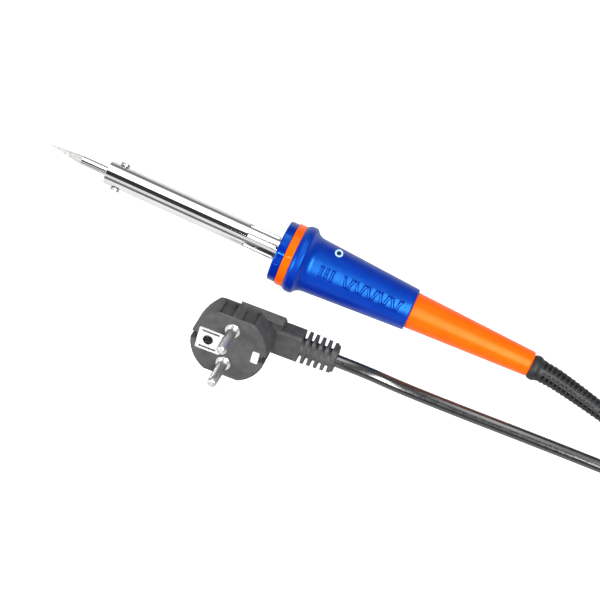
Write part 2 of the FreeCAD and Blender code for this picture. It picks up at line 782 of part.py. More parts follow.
def cord_tie():
    """Flat band round the coil."""
    slim = coil_ring(-TIE_THICKNESS, COIL_HEIGHT - TIE_THICKNESS)
    slim.translate(Vector(0, 0, TIE_THICKNESS / 2))
    return coil_ring(0, COIL_HEIGHT).common(tie_block()).cut(slim)


# ---- Plug ----------------------------------------------------------------------------------------
def plug_pin(side):
    """Round pin with a domed end, a shoulder at the face and a root in the plug."""
    dome = 1.7
    profile = [
        Vector(0, 0, -11), Vector(PIN_R, 0, -11), Vector(PIN_R, 0, -0.8), Vector(3.7, 0, -0.8),
        Vector(3.7, 0, 0.35), Vector(3.35, 0, 0.7), Vector(PIN_R, 0, 0.7),
        Vector(PIN_R, 0, PIN_LENGTH - dome),
    ]
    edges = []
    for a, b in zip(profile, profile[1:]):
        edges.append(Part.LineSegment(a, b).toShape())
    flat = Vector(PIN_R - dome, 0, PIN_LENGTH)
    bulge = Vector(PIN_R - dome * (1 - math.sqrt(0.5)), 0, PIN_LENGTH - dome * (1 - math.sqrt(0.5)))
    crown = Vector(0, 0, PIN_LENGTH)
    edges.append(Part.Arc(profile[-1], bulge, flat).toShape())
    edges.append(Part.LineSegment(flat, crown).toShape())
    edges.append(Part.LineSegment(crown, profile[0]).toShape())
    pin = Part.Face(Part.Wire(edges)).revolve(ORIGIN, Vector(0, 0, 1), 360)
    pin.translate(Vector(0, side * PIN_SIDE, 0))
    return pin


def earth_plate():
    """Metal strip in the face, with the hole that takes a socket's earth pin."""
    plate = rounded_box((-15.2, -5.8, -0.8), (-3.0, 5.8, 0.35), 0.8, 2)
    plate = plate.cut(rod((EARTH_HOLE_X, 0, -2), (0, 0, 1), 4, EARTH_HOLE_R))
    for side in (-1, 1):
        slot = rounded_box((-13.6, side * 4.3 - 0.45, -2), (-5.0, side * 4.3 + 0.45, 2), 0.4, 2)
        plate = plate.cut(slot)
    tongue = box((-16.4, -1.6, -10.0), (-15.6, 1.6, -3.4))
    bridge = box((-16.4, -1.6, -4.2), (-14.0, 1.6, -3.4))
    riser = box((-14.8, -1.6, -4.2), (-14.0, 1.6, -0.4))
    return plate.fuse(bridge).fuse(riser).fuse(tongue).removeSplitter()


def earth_socket():
    """Sprung metal tube behind the earth hole."""
    tube = rod((EARTH_HOLE_X, 0, -17.5), (0, 0, 1), 16.7, EARTH_HOLE_R + 0.6)
    return tube.cut(rod((EARTH_HOLE_X, 0, -16.5), (0, 0, 1), 20, EARTH_HOLE_R))


def earth_clip():
    """Second earth contact, on the cable's side of the face."""
    face = rounded_box((11.9, -3.1, -0.8), (15.3, 3.1, 0.35), 0.6, 2)
    tongue = box((15.6, -1.6, -10.0), (16.4, 1.6, -3.4))
    bridge = box((14.0, -1.6, -4.2), (16.4, 1.6, -3.4))
    riser = box((14.0, -1.6, -4.2), (14.8, 1.6, -0.4))
    return face.fuse(bridge).fuse(riser).fuse(tongue).removeSplitter()


def pin_bridge():
    """Moulded carrier that holds the pins' roots."""
    bridge = rounded_box((-4.2, -13.2, -9.4), (4.2, 13.2, -6.0), 1.5, 2)
    for side in (-1, 1):
        bridge = bridge.cut(rod((0, side * PIN_SIDE, -12), (0, 0, 1), 10, PIN_R))
    return bridge


def plug_sheath_end():
    """Lead's sheath inside the plug's neck and boot."""
    return rod((16.0, 0, -CABLE_DEPTH), AXIS, BOOT_TO - 16.0, CORD_R)


def plug_cores():
    """Live, neutral and earth cores from the sheath to the pins and the earth socket."""
    cores = []
    for side in (-1, 1):
        route = [
            (16.0, side * 1.3, -CABLE_DEPTH), (11.0, side * 1.3, -CABLE_DEPTH), (4.5, side * 6.0, -18.5),
            (0.0, side * PIN_SIDE, -14.5), (0.0, side * PIN_SIDE, -11.0),
        ]
        cores.append(swept(route, 0.95)[0])
    low = -CABLE_DEPTH - 1.2
    route = [
        (16.0, 0, low), (8.0, 0, low), (-3.0, 0, -21.5), (EARTH_HOLE_X, 0, -20.0), (EARTH_HOLE_X, 0, -17.5),
    ]
    cores.append(swept(route, 0.95)[0])
    return Part.makeCompound(cores)


def prism_along_cable(points, x_from, x_to):
    """Prism along the cable direction from (side, depth) corners."""
    corners = [Vector(x_from, side, -depth) for side, depth in points]
    return Part.Face(Part.makePolygon(corners + corners[:1])).extrude(Vector(x_to - x_from, 0, 0))


def plug_body():
    """Moulded body: round face with two flats, sloping back and a raised ridge on one side."""
    disc = rod((0, 0, -BACK_DEPTH), (0, 0, 1), BACK_DEPTH, FACE_R)
    outline = [
        (FLAT_SIDE, 0), (FLAT_SIDE, FLAT_DEPTH), (BACK_SIDE, BACK_DEPTH), (-BACK_SIDE, BACK_DEPTH),
        (-FLAT_SIDE, FLAT_DEPTH), (-FLAT_SIDE, 0),
    ]
    body = disc.common(prism_along_cable(outline, -20, 20))
    slope = [(-20, -9.5), (-16.5, -12.5), (-9.0, -17.5), (-1.0, -26.0), (5.0, -30)]
    profile = [(-20, 1)] + slope + [(20, -30), (20, 1)]
    corners = [Vector(x, -25, z) for x, z in profile]
    body = body.common(Part.Face(Part.makePolygon(corners + corners[:1])).extrude(Vector(0, 50, 0)))
    rim = [edge for edge in body.Edges if edge.BoundBox.ZMin > -0.01]
    body = body.makeChamfer(0.5, rim)
    ridge_outline = [(13.6, 12.3), (16.2, 12.9), (17.1, 14.8), (9.0, 25.0), (5.0, 25.0)]
    ridge = prism_along_cable(ridge_outline, -1.6, 20.4)
    shoulder = prism_along_cable([(8.0, 15.2), (13.4, 14.6), (9.0, 24.0), (5.0, 24.0)], 8.0, 20.0)
    body = body.fuse(ridge).fuse(shoulder)
    for side in (-1, 1):
        wall = FLAT_SIDE - SQUARE_DEPTH
        for x_from, x_to in ((-8.4, -2.0), (2.4, 8.9)):
            low = min(side * wall, side * 20)
            body = body.cut(box((x_from, low, -13.0), (x_to, low + 20 - wall, -0.9)))
        notch_low = min(side * 15.4, side * 20)
        body = body.cut(box((notch_low, -1.9, -9.0), (notch_low + 4.6, 1.9, 1)))
    neck_root = rounded_box((10.0, -NECK_HALF, -NECK_BACK), (NECK_TO, NECK_HALF, -NECK_FRONT), 1.6, 0)
    return body.fuse(neck_root).removeSplitter()


def plug_boot():
    """Flexible boot on the plug's neck: fins joined by two webs, and a round-cornered end."""
    middle = -(NECK_FRONT + NECK_BACK) / 2
    half = (NECK_BACK - NECK_FRONT) / 2
    boot = rod((NECK_TO, 0, -CABLE_DEPTH), AXIS, BOOT_TO - NECK_TO - 0.5, CORD_R + 0.8)
    boot = boot.fuse(box((NECK_TO, -1.7, middle - half + 0.5), (BOOT_TO - 1.5, 1.7, middle + half - 0.5)))
    for i in range(BOOT_RIBS):
        x = NECK_TO + 1.75 + i * BOOT_PITCH
        trim = 0.1 * i
        low = (x, -NECK_HALF + trim, middle - half + trim)
        high = (x + 1.6, NECK_HALF - trim, middle + half - trim)
        boot = boot.fuse(rounded_box(low, high, 2.0, 0))
    end = rounded_box((BOOT_TO - 2.6, -6.2, middle - 4.9), (BOOT_TO, 6.2, middle + 5.0), 2.9, 0)
    back = [edge for edge in end.Edges if edge.BoundBox.XMin > BOOT_TO - 0.01]
    return boot.fuse(end.makeFillet(0.9, back)).removeSplitter()


def hollowed(shape, inserts):
    """Moulding with the exact space of what it is moulded round."""
    for insert in inserts:
        shape = shape.cut(insert)
    return shape


# ---- Putting the pieces together -----------------------------------------------------------------
def iron_pieces():
    """Pieces of the iron, built about its axis."""
    core_outer = TIP_R + SLIDE_GAP + CORE_WALL
    winding_inner = core_outer + MICA
    winding_outer = winding_inner + 2 * HEATER_WIRE_R
    return {
        "soldering_tip": soldering_tip(),
        "upper_clamp_screw": clamp_screw(1, True),
        "lower_clamp_screw": clamp_screw(-1, False),
        "nose_bush": nose_bush(),
        "barrel": barrel(),
        "heater_core_tube": heater_core_tube(),
        "inner_mica_sleeve": mica_sleeve(core_outer),
        "heater_winding": heater_winding(winding_inner),
        "outer_mica_sleeve": mica_sleeve(winding_outer),
        "ceramic_lead_tubes": ceramic_lead_tubes(),
        "heater_leads": heater_leads(),
        "barrel_flange": barrel_flange(),
        "flange_screws": flange_screws(),
        "front_cap": front_cap(),
        "guard_ring": guard_ring(),
        "grip_sleeve": grip_sleeve(),
        "rear_handle": rear_handle(),
        "indicator_bezel": indicator_bezel(),
        "indicator_lens": indicator_lens(),
        "neon_lamp": neon_lamp(),
        "lamp_resistor": lamp_resistor(),
        "lamp_leads": lamp_leads(),
        "terminal_block": terminal_block(),
        "terminal_inserts": terminal_inserts(),
        "terminal_screws": terminal_screws(),
        "earth_lead": earth_lead(),
        "live_core": cord_core(-1),
        "earth_core": cord_core(0),
        "neutral_core": cord_core(1),
        "cord_clamp": cord_clamp(),
        "cord_clamp_screws": clamp_saddle_screws(),
    }


def plug_pieces():
    """Pieces of the plug, built about its face."""
    inserts = {
        "live_pin": plug_pin(-1),
        "neutral_pin": plug_pin(1),
        "earth_plate": earth_plate(),
        "earth_socket": earth_socket(),
        "earth_clip": earth_clip(),
        "pin_bridge": pin_bridge(),
        "plug_cores": plug_cores(),
        "plug_sheath_end": plug_sheath_end(),
    }
    pieces = dict(inserts)
    earth_hole = rod((EARTH_HOLE_X, 0, -16.5), (0, 0, 1), 20, EARTH_HOLE_R)
    pieces["plug_body"] = hollowed(plug_body(), list(inserts.values()) + [earth_hole])
    pieces["plug_boot"] = plug_boot().cut(inserts["plug_sheath_end"])
    return pieces


def row_pieces():
    """Pieces built where they lie."""
    boot_end = plug_place().multVec(Vector(BOOT_TO, 0, -CABLE_DEPTH))
    print("gap between lead and boot", round(boot_end.distanceToPoint(Vector(*PLUG_LEAD_ROUTE[-1])), 3))
    return {
        "sheath_end": sheath_end(),
        "strain_relief": strain_relief(),
        "cord_iron_side": cord_tube("cord_iron_side", IRON_LEAD_ROUTE),
        "cord_plug_side": cord_tube("cord_plug_side", PLUG_LEAD_ROUTE),
        "cord_coil": cord_coil(),
        "cord_tie": cord_tie(),
    }


def placed(pieces, placement):
    """The same pieces moved by one placement."""
    moved = {}
    for name, shape in pieces.items():
        copy = shape.copy()
        copy.Placement = placement.multiply(copy.Placement)
        moved[name] = copy
    return moved


def main():
    os.makedirs("parts", exist_ok=True)
    nodes = placed(iron_pieces(), iron_place())
    nodes.update(placed(plug_pieces(), plug_place()))
    nodes.update(row_pieces())
    for name, shape in nodes.items():
        shape.exportStep("parts/" + name + ".step")


main()
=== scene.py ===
import json
import math

import bmesh
import bpy
from mathutils import Matrix, Vector


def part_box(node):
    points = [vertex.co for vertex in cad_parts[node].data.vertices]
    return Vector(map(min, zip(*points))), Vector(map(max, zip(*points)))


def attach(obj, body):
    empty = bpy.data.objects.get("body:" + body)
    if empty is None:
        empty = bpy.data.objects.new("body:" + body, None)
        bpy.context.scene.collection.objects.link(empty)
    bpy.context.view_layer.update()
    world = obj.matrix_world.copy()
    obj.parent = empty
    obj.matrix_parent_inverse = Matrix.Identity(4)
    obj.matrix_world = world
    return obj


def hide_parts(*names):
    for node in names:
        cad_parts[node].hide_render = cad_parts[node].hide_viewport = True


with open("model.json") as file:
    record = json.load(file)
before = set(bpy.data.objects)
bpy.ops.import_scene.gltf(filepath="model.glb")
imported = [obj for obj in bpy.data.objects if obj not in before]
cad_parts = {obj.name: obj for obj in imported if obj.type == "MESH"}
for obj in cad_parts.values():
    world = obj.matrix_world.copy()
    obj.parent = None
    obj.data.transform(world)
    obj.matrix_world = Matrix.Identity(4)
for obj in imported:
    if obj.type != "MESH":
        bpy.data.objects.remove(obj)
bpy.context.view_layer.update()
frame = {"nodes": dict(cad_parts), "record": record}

# Soldering iron on a white table, in metres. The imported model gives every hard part; this script
# adds the camera, light, materials, the lead as one curve, its tie, and the slotted strain relief.

# ---- Camera and light ----------------------------------------------------------------------------
VIEW_AZIMUTH = 24.2
VIEW_ELEVATION = 71.0
VIEW_DISTANCE = 0.95
VIEW_LENS = 120.0
AIM_RIGHT = 0.0041
AIM_UP = -0.0213
FLOOR_SIZE = 3.0
# The table is this grey to every ray but the camera's own, which also see it glow by FLOOR_LIFT.
FLOOR_GREY = 0.43
FLOOR_LIFT = 0.95
WORLD_STRENGTH = 1.25
# Light levels by the angle about the iron's length, in degrees from straight up towards +y.
WORLD_BANDS = [
    (-90, 0.25), (-84, 0.16), (-71, 0.16), (-62, 0.75), (-48, 0.75), (-40, 0.03), (-6, 0.03),
    (2, 1.0), (45, 1.0), (56, 0.5), (63, 0.2), (84, 0.2), (90, 0.3),
]
# The bands are as wide as what the barrel mirrors; past them, by the sine along x, is dim room light.
BAND_SPAN = [(-0.21, 0.0), (-0.17, 1.0), (0.004, 1.0), (0.016, 0.0)]
ROOM_SPAN = [
    (-0.52, 0.3), (-0.45, 0.9), (-0.24, 0.9), (-0.19, 0.0), (0.004, 0.0), (0.016, 0.08), (0.07, 0.08),
    (0.1, 0.3),
]
# A brighter box in the upper band, for the lead, which mirrors far less than metal does.
BOX_LEVEL = 3.6
BOX_BAND = [(-5, 0.0), (5, 1.0), (42, 1.0), (52, 0.0)]
BOX_SPAN = [(-0.20, 0.0), (-0.16, 1.0), (-0.02, 1.0), (0.01, 0.0)]
# Area lights: name, place, target, width, height and radiance. A strip for the handle's highlight,
# a small light for the streak on the cap, a low card that the earth plate mirrors, and a key.
LIGHTS = [
    ("strip_light", (0.335, -0.33, 0.86), (0.02, 0.0, 0.01), 0.18, 0.9, 30.0),
    ("streak_light", (-0.01, -0.43, 0.78), (-0.022, 0.0, 0.02), 0.03, 0.06, 40.0),
    ("low_card", (-0.035, -0.85, 0.13), (-0.04, -0.06, 0.03), 0.1, 0.22, 3.6),
    ("key_light", (-0.75, -0.6, 0.6), (0.0, -0.03, 0.01), 0.5, 0.5, 11.0),
]

# ---- Strain relief, from the axis inside the handle to its own end -------------------------------
RELIEF_ROUTE = [
    (0.05894, 0.0, 0.01010),
    (0.10544, 0.0, 0.00605),
    (0.127, -0.0041, 0.00505),
    (0.1481, -0.00957, 0.00452),
]
RELIEF_TUCK = 0.00055
RELIEF_STEP = 0.0001
RELIEF_WALL_R = 0.0033
RELIEF_FRONT_R = 0.00535
RELIEF_END_R = 0.0041
# Collar: distance from the sleeve's start, and outer radius.
RELIEF_COLLAR = [
    (0.0, 0.0052), (0.0003, 0.0056), (0.001, 0.006), (0.002, 0.0062),
    (0.0028, 0.0062), (0.0036, 0.00595), (0.0042, 0.00565), (0.0048, 0.00535),
]
RELIEF_SLOTS_FROM = 0.0055
RELIEF_PLAIN_END = 0.0022
RELIEF_LIP = 0.0006
RELIEF_LIP_DROP = 0.0004
RELIEF_EDGE = 0.00012
RELIEF_PITCH = 0.00245
SLOT_SHARE = 0.58
RELIEF_COLUMN = 17.0
RELIEF_COLUMNS = 6
RELIEF_SEGMENTS = 48
SLOT_SEGMENTS = 6

# ---- Lead ----------------------------------------------------------------------------------------
CORD_R = 0.00315
# From the strain relief to the coil, on the table.
IRON_LEAD_ROUTE = [
    (0.1481, -0.00957, 0.00452),
    (0.16446, -0.01381, 0.00411),
    (0.1813, -0.011, 0.0032),
    (0.1957, -0.0015, 0.00315),
    (0.2043, 0.0127, 0.00315),
]
# From the coil to the plug's boot.
PLUG_LEAD_ROUTE = [
    (0.2108, -0.0496, 0.0084),
    (0.1988, -0.0376, 0.0075),
    (0.183, -0.0312, 0.0043),
    (0.161, -0.0314, 0.00315),
    (0.119, -0.0326, 0.00315),
    (0.08, -0.0341, 0.00315),
    (0.05, -0.0353, 0.0045),
    (0.03148, -0.03588, 0.00794),
    (0.01751, -0.03661, 0.00838),
]
COIL_WHOLE_TURNS = 4
COIL_TURNS_BELOW = 2.65
COIL_CLIMB = 0.3
COIL_STEPS = 24
COIL_PITCH = 0.0065
COIL_TOP_Z = 0.00955
TIE_ANGLE = 20.0
TIE_LIFT = 0.0012
TIE_SPREAD = 16.0
TIE_THICKNESS = 0.0009
TIE_WIDTH = 0.012
TIE_SPAN = 0.0242
TIE_SLACK = 0.0001
TIE_EDGE = 0.0002
TIE_CORNER_STEPS = 6


def midpoint(node):
    """Centre of a CAD node's box."""
    low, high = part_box(node)
    return (low + high) / 2


# ---- Camera, floor and world ---------------------------------------------------------------------
def make_camera():
    """Long lens above the iron, turned as a product view from the front and above."""
    azimuth = math.radians(VIEW_AZIMUTH)
    elevation = math.radians(VIEW_ELEVATION)
    right = Vector((math.cos(azimuth), math.sin(azimuth), 0))
    back = Vector((
        math.sin(azimuth) * math.cos(elevation),
        -math.cos(azimuth) * math.cos(elevation),
        math.sin(elevation),
    ))
    up = back.cross(right)
    aim = midpoint("guard_ring") + right * AIM_RIGHT + up * AIM_UP
    data = bpy.data.cameras.new("camera")
    data.lens = VIEW_LENS
    data.sensor_width = 36.0
    data.clip_start = 0.01
    data.clip_end = 20.0
    camera = bpy.data.objects.new("camera", data)
    camera.matrix_world = Matrix((right, up, back)).transposed().to_4x4()
    camera.location = aim + back * VIEW_DISTANCE
    bpy.context.scene.collection.objects.link(camera)
    bpy.context.scene.camera = camera


def make_floor():
    """Plain table top that the camera sees as white."""
    mesh = bpy.data.meshes.new("floor")
    half = FLOOR_SIZE / 2
    corners = [(-half, -half, 0), (half, -half, 0), (half, half, 0), (-half, half, 0)]
    mesh.from_pydata(corners, [], [(0, 1, 2, 3)])
    floor = bpy.data.objects.new("floor", mesh)
    bpy.context.scene.collection.objects.link(floor)
    material = bpy.data.materials.new("floor_white")
    material.use_nodes = True
    shader = material.node_tree.nodes["Principled BSDF"]
    shader.inputs["Base Color"].default_value = (FLOOR_GREY, FLOOR_GREY, FLOOR_GREY, 1)
    shader.inputs["Roughness"].default_value = 0.8
    shader.inputs["Emission Color"].default_value = (1, 1, 1, 1)
    seen = material.node_tree.nodes.new("ShaderNodeLightPath")
    lift = material.node_tree.nodes.new("ShaderNodeMath")
    lift.operation = "MULTIPLY"
    lift.inputs[1].default_value = FLOOR_LIFT
    material.node_tree.links.new(seen.outputs["Is Camera Ray"], lift.inputs[0])
    material.node_tree.links.new(lift.outputs[0], shader.inputs["Emission Strength"])
    mesh.materials.append(material)


def in_radians(stops):
    """The same (angle, level) stops with the angle in radians."""
    return [(math.radians(degrees), level) for degrees, level in stops]


def fill_ramp(node, stops):
    """Gives a colour ramp its (position, colour) stops, in rising order."""
    elements = node.color_ramp.elements
    while len(elements) > 1:
        elements.remove(elements[-1])
    elements[0].position = stops[0][0]
    for position, _ in stops[1:]:
        elements.new(position)
    for element, (_, color) in zip(elements, stops):
        element.color = (*color, 1)


def levels(tree, value, low, high, stops):
    """Grey levels over a value's span, as (value, level) stops."""
    spread = tree.nodes.new("ShaderNodeMapRange")
    spread.inputs["From Min"].default_value = low
    spread.inputs["From Max"].default_value = high
    ramp = tree.nodes.new("ShaderNodeValToRGB")
    ramp.color_ramp.interpolation = "EASE"
    fill_ramp(ramp, [((place - low) / (high - low), (level, level, level)) for place, level in stops])
    tree.links.new(value, spread.inputs["Value"])
    tree.links.new(spread.outputs[0], ramp.inputs[0])
    return ramp.outputs["Color"]


def make_world():
    """Room light, bands of light about the iron's length, and a box; white to the camera's rays."""
    world = bpy.data.worlds.new("studio")
    bpy.context.scene.world = world
    world.use_nodes = True
    tree = world.node_tree
    place = tree.nodes.new("ShaderNodeTexCoord")
    split = tree.nodes.new("ShaderNodeSeparateXYZ")
    angle = tree.nodes.new("ShaderNodeMath")
    angle.operation = "ARCTAN2"
    tree.links.new(place.outputs["Generated"], split.inputs[0])
    tree.links.new(split.outputs["Y"], angle.inputs[0])
    tree.links.new(split.outputs["Z"], angle.inputs[1])
    quarter = math.pi / 2
    total = levels(tree, split.outputs["X"], -1.0, 1.0, ROOM_SPAN)
    for level, heights, span in ((1.0, WORLD_BANDS, BAND_SPAN), (BOX_LEVEL, BOX_BAND, BOX_SPAN)):
        height = levels(tree, angle.outputs[0], -quarter, quarter, in_radians(heights))
        width = levels(tree, split.outputs["X"], -1.0, 1.0, span)
        scaled = tree.nodes.new("ShaderNodeVectorMath")
        scaled.operation = "SCALE"
        scaled.inputs["Scale"].default_value = level
        tree.links.new(height, scaled.inputs[0])
        light = tree.nodes.new("ShaderNodeVectorMath")
        light.operation = "MULTIPLY_ADD"
        tree.links.new(scaled.outputs[0], light.inputs[0])
        tree.links.new(width, light.inputs[1])
        tree.links.new(total, light.inputs[2])
        total = light.outputs[0]
    background = tree.nodes["Background"]
    background.inputs["Strength"].default_value = WORLD_STRENGTH
    tree.links.new(total, background.inputs["Color"])
    plain = tree.nodes.new("ShaderNodeBackground")
    plain.inputs["Color"].default_value = (1.0, 1.0, 1.0, 1)
    seen = tree.nodes.new("ShaderNodeLightPath")
    choose = tree.nodes.new("ShaderNodeMixShader")
    tree.links.new(seen.outputs["Is Camera Ray"], choose.inputs[0])
    tree.links.new(background.outputs[0], choose.inputs[1])
    tree.links.new(plain.outputs[0], choose.inputs[2])
    tree.links.new(choose.outputs[0], tree.nodes["World Output"].inputs["Surface"])


def soft_light(name, place, target, width, height, radiance):
    """Rectangular area light aimed at a point, with its height in the plane of world y."""
    data = bpy.data.lights.new(name, "AREA")
    data.shape = "RECTANGLE"
    data.size = width
    data.size_y = height
    data.energy = radiance * width * height * math.pi
    light = bpy.data.objects.new(name, data)
    back = (Vector(place) - Vector(target)).normalized()
    right = Vector((0, 1, 0)).cross(back).normalized()
    light.matrix_world = Matrix((right, back.cross(right), back)).transposed().to_4x4()
    light.location = place
    bpy.context.scene.collection.objects.link(light)


def make_light():
    """The four area lights."""
    for light in LIGHTS:
        soft_light(*light)


# ---- Material tools ------------------------------------------------------------------------------
LOOK = "_look"
# The cap and the ring are polished: their roughness is this share of the grip's.
POLISH = 0.38
# World x where the polish ends, and half the width of the change.
POLISH_TO = -0.019
POLISH_EDGE = 0.0002
# From the tip's end: how far it is tinned, and where the plating is whole again.
TINNED_LENGTH = 0.008
TINNED_FADE = 0.0125


class Surface:
    """One Principled material and the few node groups that the finishes are made of."""

    def __init__(self, name, color, roughness, sockets=None):
        self.material = bpy.data.materials.new(name + LOOK)
        self.material.use_nodes = True
        self.tree = self.material.node_tree
        self.shader = self.tree.nodes["Principled BSDF"]
        self.color = color
        self.shader.inputs["Base Color"].default_value = (*color, 1)
        self.shader.inputs["Roughness"].default_value = roughness
        for socket, value in (sockets or {}).items():
            self.shader.inputs[socket].default_value = value
        self.place = self.tree.nodes.new("ShaderNodeTexCoord").outputs["Object"]

    def noise(self, scale, detail=3.0, stretch=(1, 1, 1)):
        """Noise in the row frame; scale is per metre and stretch divides it along each axis."""
        mapping = self.tree.nodes.new("ShaderNodeMapping")
        mapping.inputs["Scale"].default_value = [1 / s for s in stretch]
        texture = self.tree.nodes.new("ShaderNodeTexNoise")
        texture.inputs["Scale"].default_value = scale
        texture.inputs["Detail"].default_value = detail
        self.tree.links.new(self.place, mapping.inputs["Vector"])
        self.tree.links.new(mapping.outputs[0], texture.inputs["Vector"])
        return texture.outputs["Fac"]

    def ramp(self, value, stops):
        """Colour ramp over a value, as (position, colour) stops."""
        node = self.tree.nodes.new("ShaderNodeValToRGB")
        fill_ramp(node, stops)
        self.tree.links.new(value, node.inputs[0])
        return node.outputs["Color"]

    def mottle(self, value, share):
        """Base colour that drifts a share darker and lighter with a value."""
        dark = [c * (1 - share) for c in self.color]
        light = [min(1.0, c * (1 + share) + 0.01 * share) for c in self.color]
        color = self.ramp(value, [(0.3, dark), (0.7, light)])
        self.tree.links.new(color, self.shader.inputs["Base Color"])

    def rough(self, value, low, high):
        """Roughness that varies with a value."""
        node = self.tree.nodes.new("ShaderNodeMapRange")
        node.inputs["From Min"].default_value = 0.3
        node.inputs["From Max"].default_value = 0.7
        node.inputs["To Min"].default_value = low
        node.inputs["To Max"].default_value = high
        self.tree.links.new(value, node.inputs["Value"])
        self.tree.links.new(node.outputs[0], self.shader.inputs["Roughness"])

    def polish_front(self, front, share):
        """Lowers the roughness to a share of itself where x is less than front."""
        split = self.tree.nodes.new("ShaderNodeSeparateXYZ")
        edge = self.tree.nodes.new("ShaderNodeMapRange")
        edge.inputs["From Min"].default_value = front - POLISH_EDGE
        edge.inputs["From Max"].default_value = front + POLISH_EDGE
        edge.inputs["To Min"].default_value = share
        scaled = self.tree.nodes.new("ShaderNodeMath")
        scaled.operation = "MULTIPLY"
        roughness = self.shader.inputs["Roughness"]
        self.tree.links.new(self.place, split.inputs[0])
        self.tree.links.new(split.outputs["X"], edge.inputs["Value"])
        self.tree.links.new(edge.outputs[0], scaled.inputs[0])
        self.tree.links.new(roughness.links[0].from_socket, scaled.inputs[1])
        self.tree.links.new(scaled.outputs[0], roughness)

    def bump(self, value, depth, strength=0.5):
        """Relief of a given depth in metres."""
        node = self.tree.nodes.new("ShaderNodeBump")
        node.inputs["Strength"].default_value = strength
        node.inputs["Distance"].default_value = depth
        self.tree.links.new(value, node.inputs["Height"])
        self.tree.links.new(node.outputs[0], self.shader.inputs["Normal"])


def polished_metal(name, color, low, high, grain=(30, 1, 1), depth=0.000004):
    """Metal with fine drawn lines along its length and a slow drift in polish."""
    surface = Surface(name, color, low, {"Metallic": 1.0})
    lines = surface.noise(9000, 2, grain)
    surface.rough(surface.noise(60, 4, (3, 1, 1)), low, high)
    surface.mottle(surface.noise(140, 4), 0.05)
    surface.bump(lines, depth, 0.25)
    return surface.material


def moulded_plastic(name, color, tint, low, high, ior, grain_depth=0.00001, front=None):
    """Satin moulding: colour drift, fine grain, tinted gloss; polished up to front along x."""
    sockets = {"Specular Tint": (*tint, 1), "IOR": ior, "Specular IOR Level": 1.0}
    surface = Surface(name, color, low, sockets)
    surface.mottle(surface.noise(90, 3), 0.06)
    surface.rough(surface.noise(220, 3), low, high)
    if front is not None:
        surface.polish_front(front, POLISH)
    surface.bump(surface.noise(4200, 2), grain_depth, 0.35)
    return surface.material


def plated_tip():
    """Plated rod, paler and rougher where its end is tinned."""
    surface = Surface("plated_tip", (0.66, 0.65, 0.64), 0.12, {"Metallic": 1.0})
    split = surface.tree.nodes.new("ShaderNodeSeparateXYZ")
    surface.tree.links.new(surface.place, split.inputs[0])
    low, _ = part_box("soldering_tip")
    blend = surface.tree.nodes.new("ShaderNodeMapRange")
    blend.inputs["From Min"].default_value = low.x + TINNED_LENGTH
    blend.inputs["From Max"].default_value = low.x + TINNED_FADE
    surface.tree.links.new(split.outputs["X"], blend.inputs["Value"])
    tinned = (0.7, 0.7, 0.69)
    plated = (0.58, 0.57, 0.56)
    color = surface.ramp(blend.outputs[0], [(0.0, tinned), (0.8, plated), (1.0, surface.color)])
    surface.tree.links.new(color, surface.shader.inputs["Base Color"])
    surface.rough(surface.noise(700, 3, (4, 1, 1)), 0.09, 0.2)
    surface.bump(surface.noise(2500, 3, (3, 1, 1)), 0.000006, 0.3)
    return surface.material


def rubber(name, color, low, high, grain, depth, ior=1.5):
    """Soft black moulding or extrusion with its own grain."""
    surface = Surface(name, color, low, {"IOR": ior})
    surface.mottle(surface.noise(260, 4), 0.22)
    surface.rough(surface.noise(400, 3), low, high)
    surface.bump(surface.noise(grain, 3), depth, 0.5)
    return surface.material


def plain_matter(name, color, low, high, grain, depth, share=0.1):
    """Ceramic, mica, insulation and other dull matter with fine grain."""
    surface = Surface(name, color, low)
    surface.mottle(surface.noise(grain / 8, 4), share)
    surface.rough(surface.noise(grain / 4, 3), low, high)
    surface.bump(surface.noise(grain, 3), depth, 0.4)
    return surface.material


def lamp_glass():
    """Thin clear glass of the glow lamp."""
    surface = Surface("lamp_glass", (0.95, 0.62, 0.4), 0.05, {"Transmission Weight": 0.85, "IOR": 1.47})
    surface.rough(surface.noise(500, 2), 0.03, 0.09)
    return surface.material


def earth_insulation():
    """Green insulation with a yellow stripe down it."""
    green = (0.03, 0.22, 0.04)
    surface = Surface("earth_insulation", green, 0.4)
    wave = surface.tree.nodes.new("ShaderNodeTexWave")
    wave.bands_direction = "Y"
    wave.inputs["Scale"].default_value = 260
    surface.tree.links.new(surface.place, wave.inputs["Vector"])
    color = surface.ramp(wave.outputs["Fac"], [(0.45, green), (0.55, (0.75, 0.6, 0.03))])
    surface.tree.links.new(color, surface.shader.inputs["Base Color"])
    surface.rough(surface.noise(900, 3), 0.35, 0.5)
    return surface.material


